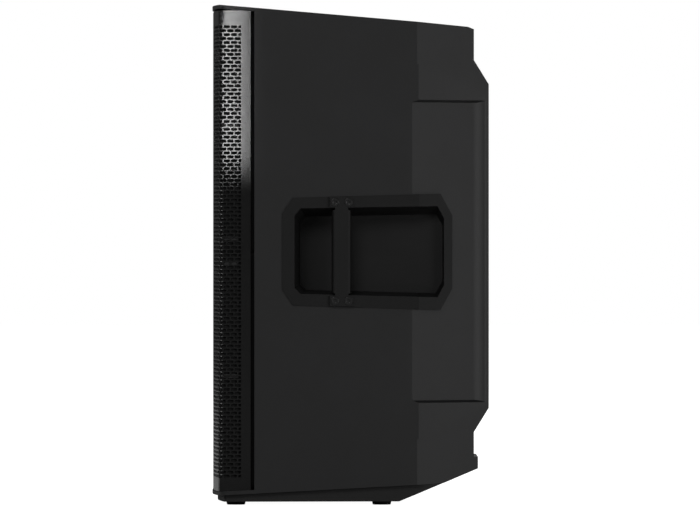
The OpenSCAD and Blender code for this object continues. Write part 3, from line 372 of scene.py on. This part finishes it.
def softened(node, radius, name):
    """A copy of a node with its loose triangles joined, its flat faces made whole and its edges rounded, as
    a mould or a deburring tool leaves them."""
    work = bmesh.new()
    work.from_mesh(frame["nodes"][node].data)
    bmesh.ops.remove_doubles(work, verts=work.verts, dist=WELD)
    bmesh.ops.dissolve_limit(work, angle_limit=FLAT_WITHIN, verts=work.verts, edges=work.edges)
    bmesh.ops.recalc_face_normals(work, faces=work.faces)
    for face in work.faces:
        face.smooth = True
    piece = linked(name, mesh_of(name, work))
    bevel = piece.modifiers.new("edges", "BEVEL")
    bevel.width = radius
    bevel.segments = 2
    bevel.limit_method = "ANGLE"
    bevel.angle_limit = ROUNDED_EDGE
    applied(piece)
    flat_faces(piece)
    dress(piece, slot_of[node])
    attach(piece, body_of(node))
    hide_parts(node)


# how far each piece's edges are rounded
EDGE_RADII = {
    "cabinet_shell": 0.8 * MM,
    "base_plinth": 0.8 * MM,
    "rubber_feet": 0.8 * MM,
    "handle_tray_left": 0.5 * MM,
    "handle_tray_right": 0.5 * MM,
    "handle_bar_left": 0.7 * MM,
    "handle_bar_right": 0.7 * MM,
    "handle_screws": 0.3 * MM,
    "heat_sink": 0.3 * MM,
    "amp_panel": 0.3 * MM,
    "ac_inlet": 0.3 * MM,
    "input_jacks": 0.3 * MM,
    "output_jack": 0.3 * MM,
    "rocker_frame": 0.3 * MM,
    "power_rocker": 0.3 * MM,
    "level_knob_1": 0.4 * MM,
    "level_knob_2": 0.4 * MM,
    "pole_socket": 0.5 * MM,
    "panel_screws": 0.15 * MM,
    "line_sockets": 0.15 * MM,
    "led_lenses": 0.1 * MM,
    "source_switch": 0.15 * MM,
    "tone_switch": 0.15 * MM,
    "jack_latch_1": 0.15 * MM,
    "jack_latch_2": 0.15 * MM,
}
for node, radius in EDGE_RADII.items():
    softened(node, radius, node + "_finished")

# ---------- perforated front ----------

SLOT_PITCH = 9.8 * MM  # from slot to slot along a row, which gives way a little to fill the row
ROW_PITCH = 5.23 * MM  # from row to row
SLOT_L = 8.2 * MM
SLOT_H = 3.7 * MM
SLOT_R = 1.3 * MM  # radius of a slot's corners
HALF_SLOT_START = 0.4 * MM  # from the field's edge to the straight end of a half slot
SHEET_T = 1.2 * MM
SHEET_WELD = 0.02 * MM  # points of neighbouring cells closer than this are one
SHEET_SHARP_EDGE = math.radians(35)  # keeps the slots' rims crisp and the bent sheet smooth
CROWN = 10.5 * MM  # how far the middle of the front stands ahead of its corners
CORNER_R = 3.5 * MM  # where the front turns on to the side
SIDE_MARGIN = 12.2 * MM  # plain strip along the sheet's rear edges
END_MARGIN = 9 * MM  # plain strip at the top and the bottom, at least
MIDDLE_ROW = hinge.z - 0.8 * MM  # height of the row at the middle
CLOTH_INSET = 3.2 * MM  # from the sheet's outer face to the cloth
CLOTH_FOLD = Vector((-23 * MM, 14 * MM, 0))  # the strip of cloth turned in behind the sheet's rear edge
CLOTH_END = 3 * MM  # the cloth stops this short of the sheet's ends
CLOTH_T = 0.5 * MM
SEAM = MIDDLE_ROW - ROW_PITCH / 2  # where the two halves of the sheet meet, between two rows


def plan_path(half, front, back):
    """The sheet's outer face seen from above, from its middle to one rear edge, in short steps."""
    cabinet_half = shell_high.x
    crown_r = (cabinet_half ** 2 + CROWN ** 2) / (2 * CROWN)
    centre = Vector((0, front + crown_r, 0))
    turn = math.asin((half - CORNER_R) / (crown_r - CORNER_R))
    corner = Vector((half - CORNER_R, centre.y - (crown_r - CORNER_R) * math.cos(turn), 0))
    crown_steps = 40
    corner_steps = 16
    points = []
    for i in range(crown_steps + 1):
        a = -math.pi / 2 + turn * i / crown_steps
        points.append(centre + crown_r * Vector((math.cos(a), math.sin(a), 0)))
    for i in range(1, corner_steps + 1):
        a = -math.pi / 2 + turn + (math.pi / 2 - turn) * i / corner_steps
        points.append(corner + CORNER_R * Vector((math.cos(a), math.sin(a), 0)))
    points.append(Vector((half, back, 0)))
    return points


def path_curve(points):
    """The whole path from one rear edge round the front to the other, as a curve object."""
    both = [Vector((-p.x, p.y, 0)) for p in reversed(points[1:])] + points
    data = bpy.data.curves.new("sheet_path", "CURVE")
    data.dimensions = "3D"
    spline = data.splines.new("POLY")
    spline.points.add(len(both) - 1)
    for point, place in zip(spline.points, both):
        point.co = (*place, 1)
    return linked("sheet_path", data)


def path_length(points):
    """The length of the whole path, of which points holds one half."""
    return 2 * sum((b - a).length for a, b in zip(points, points[1:]))


def slot_ring(half_slot):
    """Points round one slot, from its lower right corner anticlockwise. A half slot ends straight on its
    left."""
    reach_x = SLOT_L / 2 - SLOT_R
    reach_z = SLOT_H / 2 - SLOT_R
    steps = 2
    right = []
    for side, start in ((-1, -math.pi / 2), (1, 0)):
        for i in range(steps + 1):
            a = start + math.pi / 2 * i / steps
            right.append((reach_x + SLOT_R * math.cos(a), side * reach_z + SLOT_R * math.sin(a)))
    if half_slot:
        return right + [(HALF_SLOT_START, SLOT_H / 2), (HALF_SLOT_START, -SLOT_H / 2)]
    return right + [(-x, -z) for x, z in right]


def tile_mesh(name, half_slot, pitch):
    """One flat cell of the sheet with its slot: its front at y = 0, its back and the slot's wall."""
    left = 0 if half_slot else -pitch / 2
    right = pitch / 2
    top = ROW_PITCH / 2
    upper_half = [(right, 0), (right, top), (0, top), (left, top)]
    lower_half = [(left, 0), (left, -top), (0, -top), (right, -top)]
    border = list(dict.fromkeys(upper_half + lower_half))
    ring = slot_ring(half_slot)
    work = bmesh.new()
    rings = {}
    for y in (0, SHEET_T):
        outer = [work.verts.new((x, y, z)) for x, z in border]
        inner = [work.verts.new((x, y, z)) for x, z in ring]
        edges = [work.edges.new((loop[i], loop[(i + 1) % len(loop)])) for loop in (outer, inner)
                 for i in range(len(loop))]
        bmesh.ops.triangle_fill(work, use_beauty=True, use_dissolve=False, edges=edges)
        rings[y] = inner
    for i in range(len(ring)):
        j = (i + 1) % len(ring)
        work.faces.new((rings[0][i], rings[0][j], rings[SHEET_T][j], rings[SHEET_T][i]))
    bmesh.ops.recalc_face_normals(work, faces=work.faces)
    outward = min(work.faces, key=lambda face: face.calc_center_median().y)
    if outward.normal.y > 0:
        bmesh.ops.reverse_faces(work, faces=work.faces)
    return linked(name, mesh_of(name, work))


def steps_between(a, b, stride):
    """Places from a to b in whole strides, which a border shares with the cells beside it."""
    count = max(1, round((b - a) / stride))
    return [a + (b - a) * i / count for i in range(count + 1)]


def margin_mesh(name, half_len, cells, pitch, low, high, field_low, field_high):
    """The plain strips round the perforated field, and the sheet's edges, flat in x and z."""
    field_half = cells * pitch / 2
    across = steps_between(-field_half, field_half, pitch / 2)
    side = [-half_len, -half_len + (half_len - field_half) / 2]
    xs = side + across + [-x for x in reversed(side)]
    rows = steps_between(field_low, field_high, ROW_PITCH / 2)
    below = [low, (low + field_low) / 2] if field_low - low > 1 * MM else []
    above = [(high + field_high) / 2, high] if high - field_high > 1 * MM else []
    zs = below + rows + above
    work = bmesh.new()
    grid = {(i, j, y): work.verts.new((x, y, z)) for i, x in enumerate(xs) for j, z in enumerate(zs)
            for y in (0, SHEET_T)}
    for i in range(len(xs) - 1):
        for j in range(len(zs) - 1):
            middle_x = (xs[i] + xs[i + 1]) / 2
            middle_z = (zs[j] + zs[j + 1]) / 2
            if abs(middle_x) < field_half and field_low < middle_z < field_high:
                continue
            corners = [(i, j), (i + 1, j), (i + 1, j + 1), (i, j + 1)]
            work.faces.new([grid[(*c, 0)] for c in corners])
            work.faces.new([grid[(*c, SHEET_T)] for c in reversed(corners)])
    last_i = len(xs) - 1
    last_j = len(zs) - 1
    rim = [(i, 0) for i in range(last_i)] + [(last_i, j) for j in range(last_j)]
    rim += [(i, last_j) for i in range(last_i, 0, -1)] + [(0, j) for j in range(last_j, 0, -1)]
    for a, b in zip(rim, rim[1:] + rim[:1]):
        work.faces.new([grid[(*b, 0)], grid[(*a, 0)], grid[(*a, SHEET_T)], grid[(*b, SHEET_T)]])
    loose = [v for v in work.verts if not v.link_faces]
    bmesh.ops.delete(work, geom=loose, context="VERTS")
    return mesh_of(name, work)


def perforation_tree():
    """Geometry Nodes: rows of cells set like bricks fill the field and join the plain strips, and the flat
    sheet is then wrapped on the path that the front follows."""
    tree = bpy.data.node_groups.new("perforated_sheet", "GeometryNodeTree")
    sockets = tree.interface
    sockets.new_socket("Strips", in_out="INPUT", socket_type="NodeSocketGeometry")
    for name in ("Cell", "Half Cell", "Path"):
        sockets.new_socket(name, in_out="INPUT", socket_type="NodeSocketObject")
    for name in ("Slot Pitch", "Row Pitch", "Whole Middle", "Staggered Middle", "Path Length"):
        sockets.new_socket(name, in_out="INPUT", socket_type="NodeSocketFloat")
    for name in ("Cells In A Row", "Whole Rows", "Staggered Rows"):
        sockets.new_socket(name, in_out="INPUT", socket_type="NodeSocketInt")
    sockets.new_socket("Finish", in_out="INPUT", socket_type="NodeSocketMaterial")
    sockets.new_socket("Sheet", in_out="OUTPUT", socket_type="NodeSocketGeometry")
    given = add(tree, "NodeGroupInput").outputs

    def maths(kind, a, b):
        """One sum of two numbers or sockets."""
        return add(tree, "ShaderNodeMath", {0: a, 1: b}, operation=kind).outputs[0]

    def at(x, z):
        """A place in the flat sheet."""
        return add(tree, "ShaderNodeCombineXYZ", {"X": x, "Z": z}).outputs[0]

    two_rows = maths("MULTIPLY", given["Row Pitch"], 2)

    def moved(geometry, x, z, turn=0.0):
        """Geometry turned about x and then moved in the flat sheet."""
        return add(tree, "GeometryNodeTransform", {"Geometry": geometry, "Translation": at(x, z),
                                                   "Rotation": (turn, 0, 0)}).outputs[0]

    def vector(kind, values):
        return add(tree, "ShaderNodeVectorMath", values, operation=kind).outputs[0]

    def lattice(columns, rows, middle):
        """Points columns by rows, two row pitches apart, round a height."""
        grid = add(tree, "GeometryNodeMeshGrid", {
            "Size X": maths("MULTIPLY", maths("SUBTRACT", columns, 1), given["Slot Pitch"]),
            "Size Y": maths("MULTIPLY", maths("SUBTRACT", rows, 1), two_rows),
            "Vertices X": columns,
            "Vertices Y": rows,
        }).outputs["Mesh"]
        return moved(grid, 0.0, middle, math.pi / 2)

    def cells(points, source, turn=0.0):
        """A cell at every point, turned about its own y."""
        shape = add(tree, "GeometryNodeObjectInfo", {"Object": source}).outputs["Geometry"]
        return add(tree, "GeometryNodeInstanceOnPoints", {"Points": points, "Instance": shape,
                                                          "Rotation": (0, turn, 0)}).outputs[0]

    in_a_row = given["Cells In A Row"]
    whole = cells(lattice(in_a_row, given["Whole Rows"], given["Whole Middle"]), given["Cell"])
    fewer = maths("SUBTRACT", in_a_row, 1)
    between = cells(lattice(fewer, given["Staggered Rows"], given["Staggered Middle"]), given["Cell"])
    half_width = maths("MULTIPLY", maths("MULTIPLY", given["Slot Pitch"], in_a_row), 0.5)
    column = lattice(1, given["Staggered Rows"], given["Staggered Middle"])
    starts = cells(moved(column, maths("MULTIPLY", half_width, -1.0), 0.0), given["Half Cell"])
    ends = cells(moved(column, half_width, 0.0), given["Half Cell"], math.pi)
    join = add(tree, "GeometryNodeJoinGeometry")
    for part in (given["Strips"], whole, between, starts, ends):
        tree.links.new(part, join.inputs[0])
    real = add(tree, "GeometryNodeRealizeInstances", {"Geometry": join.outputs[0]}).outputs[0]
    welded = add(tree, "GeometryNodeMergeByDistance", {"Geometry": real, "Distance": SHEET_WELD}).outputs[0]
    position = add(tree, "GeometryNodeInputPosition").outputs[0]
    here = add(tree, "ShaderNodeSeparateXYZ", {"Vector": position}).outputs
    path = add(tree, "GeometryNodeObjectInfo", {"Object": given["Path"]}).outputs["Geometry"]
    along = maths("ADD", here["X"], maths("MULTIPLY", given["Path Length"], 0.5))
    sample = add(tree, "GeometryNodeSampleCurve", {"Curves": path, "Length": along}, mode="LENGTH").outputs
    inward = vector("CROSS_PRODUCT", {0: (0, 0, 1), 1: sample["Tangent"]})
    depth = vector("SCALE", {0: inward, "Scale": here["Y"]})
    raised = vector("ADD", {0: sample["Position"], 1: depth})
    place = vector("ADD", {0: raised, 1: at(0.0, here["Z"])})
    bent = add(tree, "GeometryNodeSetPosition", {"Geometry": welded, "Position": place}).outputs[0]
    done = add(tree, "GeometryNodeSetMaterial", {"Geometry": bent, "Material": given["Finish"]}).outputs[0]
    add(tree, "NodeGroupOutput", {"Sheet": done})
    return tree


def perforated_sheet(name, node, end, tree):
    """One half of the perforated front, from the seam at the cabinet's middle to one end. Whole and
    staggered rows take turns: a whole one lies at the middle and a staggered one at either end."""
    corner_low, corner_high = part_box(node)
    toward = 1 if end > SEAM else -1
    points = plan_path(corner_high.x, corner_low.y, corner_high.y)
    path = path_curve(points)
    length = path_length(points)
    cells = round((length - 2 * SIDE_MARGIN) / SLOT_PITCH)
    pitch = (length - 2 * SIDE_MARGIN) / cells
    tiles = [tile_mesh("cell", False, pitch), tile_mesh("half_cell", True, pitch)]
    pairs = math.floor((abs(end - SEAM) - END_MARGIN) / ROW_PITCH / 2)
    whole_rows = pairs if toward > 0 else pairs - 1
    first_whole = 0 if toward > 0 else 2
    field_end = SEAM + toward * (whole_rows + pairs) * ROW_PITCH
    low, high = sorted((SEAM, end))
    mesh = margin_mesh(name, length / 2, cells, pitch, low, high, *sorted((SEAM, field_end)))
    piece = linked(name, mesh)
    modifier = piece.modifiers.new("perforation", "NODES")
    modifier.node_group = tree
    values = {
        "Cell": tiles[0], "Half Cell": tiles[1], "Path": path, "Slot Pitch": pitch, "Row Pitch": ROW_PITCH,
        "Path Length": length, "Cells In A Row": cells, "Whole Rows": whole_rows, "Staggered Rows": pairs,
        "Whole Middle": MIDDLE_ROW + toward * (first_whole + whole_rows - 1) * ROW_PITCH,
        "Staggered Middle": MIDDLE_ROW + toward * pairs * ROW_PITCH,
        "Finish": materials["grille_steel"],
    }
    for socket in tree.interface.items_tree:
        if socket.in_out == "INPUT" and socket.name in values:
            modifier[socket.identifier] = values[socket.name]
    piece.update_tag()
    bpy.context.view_layer.update()
    applied(piece)
    for helper in (path, *tiles):
        bpy.data.objects.remove(helper)
    piece.data.set_sharp_from_angle(angle=SHEET_SHARP_EDGE)
    dress(piece, "grille_steel")
    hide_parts(node)
    return bending(piece)


def bending(piece):
    """Bakes a piece's placement into its mesh."""
    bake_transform(piece)
    return piece


def backing_cloth(name, end):
    """Black acoustic cloth stretched a little behind the perforated sheet, its rear edges folded inwards."""
    outer_low, outer_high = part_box("upper_grille")
    rear = outer_high.y - 1 * MM
    half = plan_path(outer_high.x - CLOTH_INSET, outer_low.y + CLOTH_INSET, rear)
    half.append(half[-1] + CLOTH_FOLD)
    both = [Vector((-p.x, p.y, 0)) for p in reversed(half[1:])] + half
    levels = steps_between(*sorted((SEAM, end)), 8 * MM)
    work = bmesh.new()
    rows = [[work.verts.new((p.x, p.y, z)) for p in both] for z in levels]
    for lower, upper in zip(rows, rows[1:]):
        for i in range(len(both) - 1):
            work.faces.new((lower[i], lower[i + 1], upper[i + 1], upper[i]))
    mesh = mesh_of(name, work)
    mesh.shade_smooth()
    piece = linked(name, mesh)
    thick = piece.modifiers.new("thickness", "SOLIDIFY")
    thick.thickness = CLOTH_T
    thick.offset = 0
    applied(piece)
    piece.data.materials.append(materials["scrim"])
    return bending(piece)


cell_tree = perforation_tree()
perforated_sheet("upper_perforated_front", "upper_grille", grille_top, cell_tree)
perforated_sheet("lower_perforated_front", "lower_grille", grille_bottom, cell_tree)
backing_cloth("upper_cloth", grille_top - CLOTH_END)
backing_cloth("lower_cloth", grille_bottom + CLOTH_END)

# ---------- studio ----------


def studio_floor():
    """A pale floor, which glows for the camera only, so that it runs into the white surroundings."""
    mesh = bpy.data.meshes.new("studio_floor")
    reach = 30
    corners = [(-reach, -reach, 0), (reach, -reach, 0), (reach, reach, 0), (-reach, reach, 0)]
    mesh.from_pydata(corners, [], [(0, 1, 2, 3)])
    floor = linked("studio_floor", mesh)
    material, tree, output, _ = new_material("studio_white")
    seen = add(tree, "ShaderNodeLightPath").outputs["Is Camera Ray"]
    glow = add(tree, "ShaderNodeMath", {0: seen, 1: 0.98}, operation="MULTIPLY").outputs[0]
    surface(tree, output, {
        "Base Color": linear("#c8c8c8"),
        "Roughness": 0.9,
        "Emission Color": (1, 1, 1, 1),
        "Emission Strength": glow,
    })
    floor.data.materials.append(material)


def soft_light(name, place, target, width, tall, power, beam=180):
    """A rectangular softbox that the camera doesn't see; beam is the angle that its light spreads over."""
    data = bpy.data.lights.new(name, "AREA")
    data.shape = "RECTANGLE"
    data.size = width
    data.size_y = tall
    data.energy = power
    data.spread = math.radians(beam)
    lamp = linked(name, data)
    lamp.location = place
    lamp.rotation_euler = (Vector(target) - Vector(place)).to_track_quat("-Z", "Y").to_euler()
    lamp.visible_camera = False


def white_surroundings(lit):
    """White where the camera looks, and a light of strength lit."""
    world = bpy.data.worlds.new("white_surroundings")
    world.use_nodes = True
    tree = world.node_tree
    tree.nodes.clear()
    seen = add(tree, "ShaderNodeLightPath").outputs["Is Camera Ray"]
    strength = add(tree, "ShaderNodeMapRange", {"Value": seen, "To Min": lit, "To Max": 1.0})
    back = add(tree, "ShaderNodeBackground", {"Color": (1, 1, 1, 1), "Strength": strength.outputs["Result"]})
    add(tree, "ShaderNodeOutputWorld", {"Surface": back.outputs["Background"]})
    bpy.context.scene.world = world


studio_floor()
white_surroundings(0.06)
centre = (0, 0, shell_high.z / 2)
soft_light("rear_key", (4.8, 5.3, 0.5), (0, 0, 0.2), 2.4, 2.8, 160)
soft_light("top_fill", (7.6, -1.8, 5.2), centre, 3.4, 3.0, 212)
soft_light("front_fill", (0.8, -3.6, 0.6), centre, 2.6, 2.2, 3)
soft_light("side_strip", (0.9, -0.19, 0.79), (0, -0.156, 0.79), 0.05, 0.68, 0.017, 6)
soft_light("far_fill", (-6.5, 3.5, 4.5), centre, 3.0, 3.0, 320)
soft_light("far_front", (-1.5, -8.0, 3.4), centre, 3.0, 3.0, 110)
bpy.context.scene.view_settings.view_transform = "Standard"
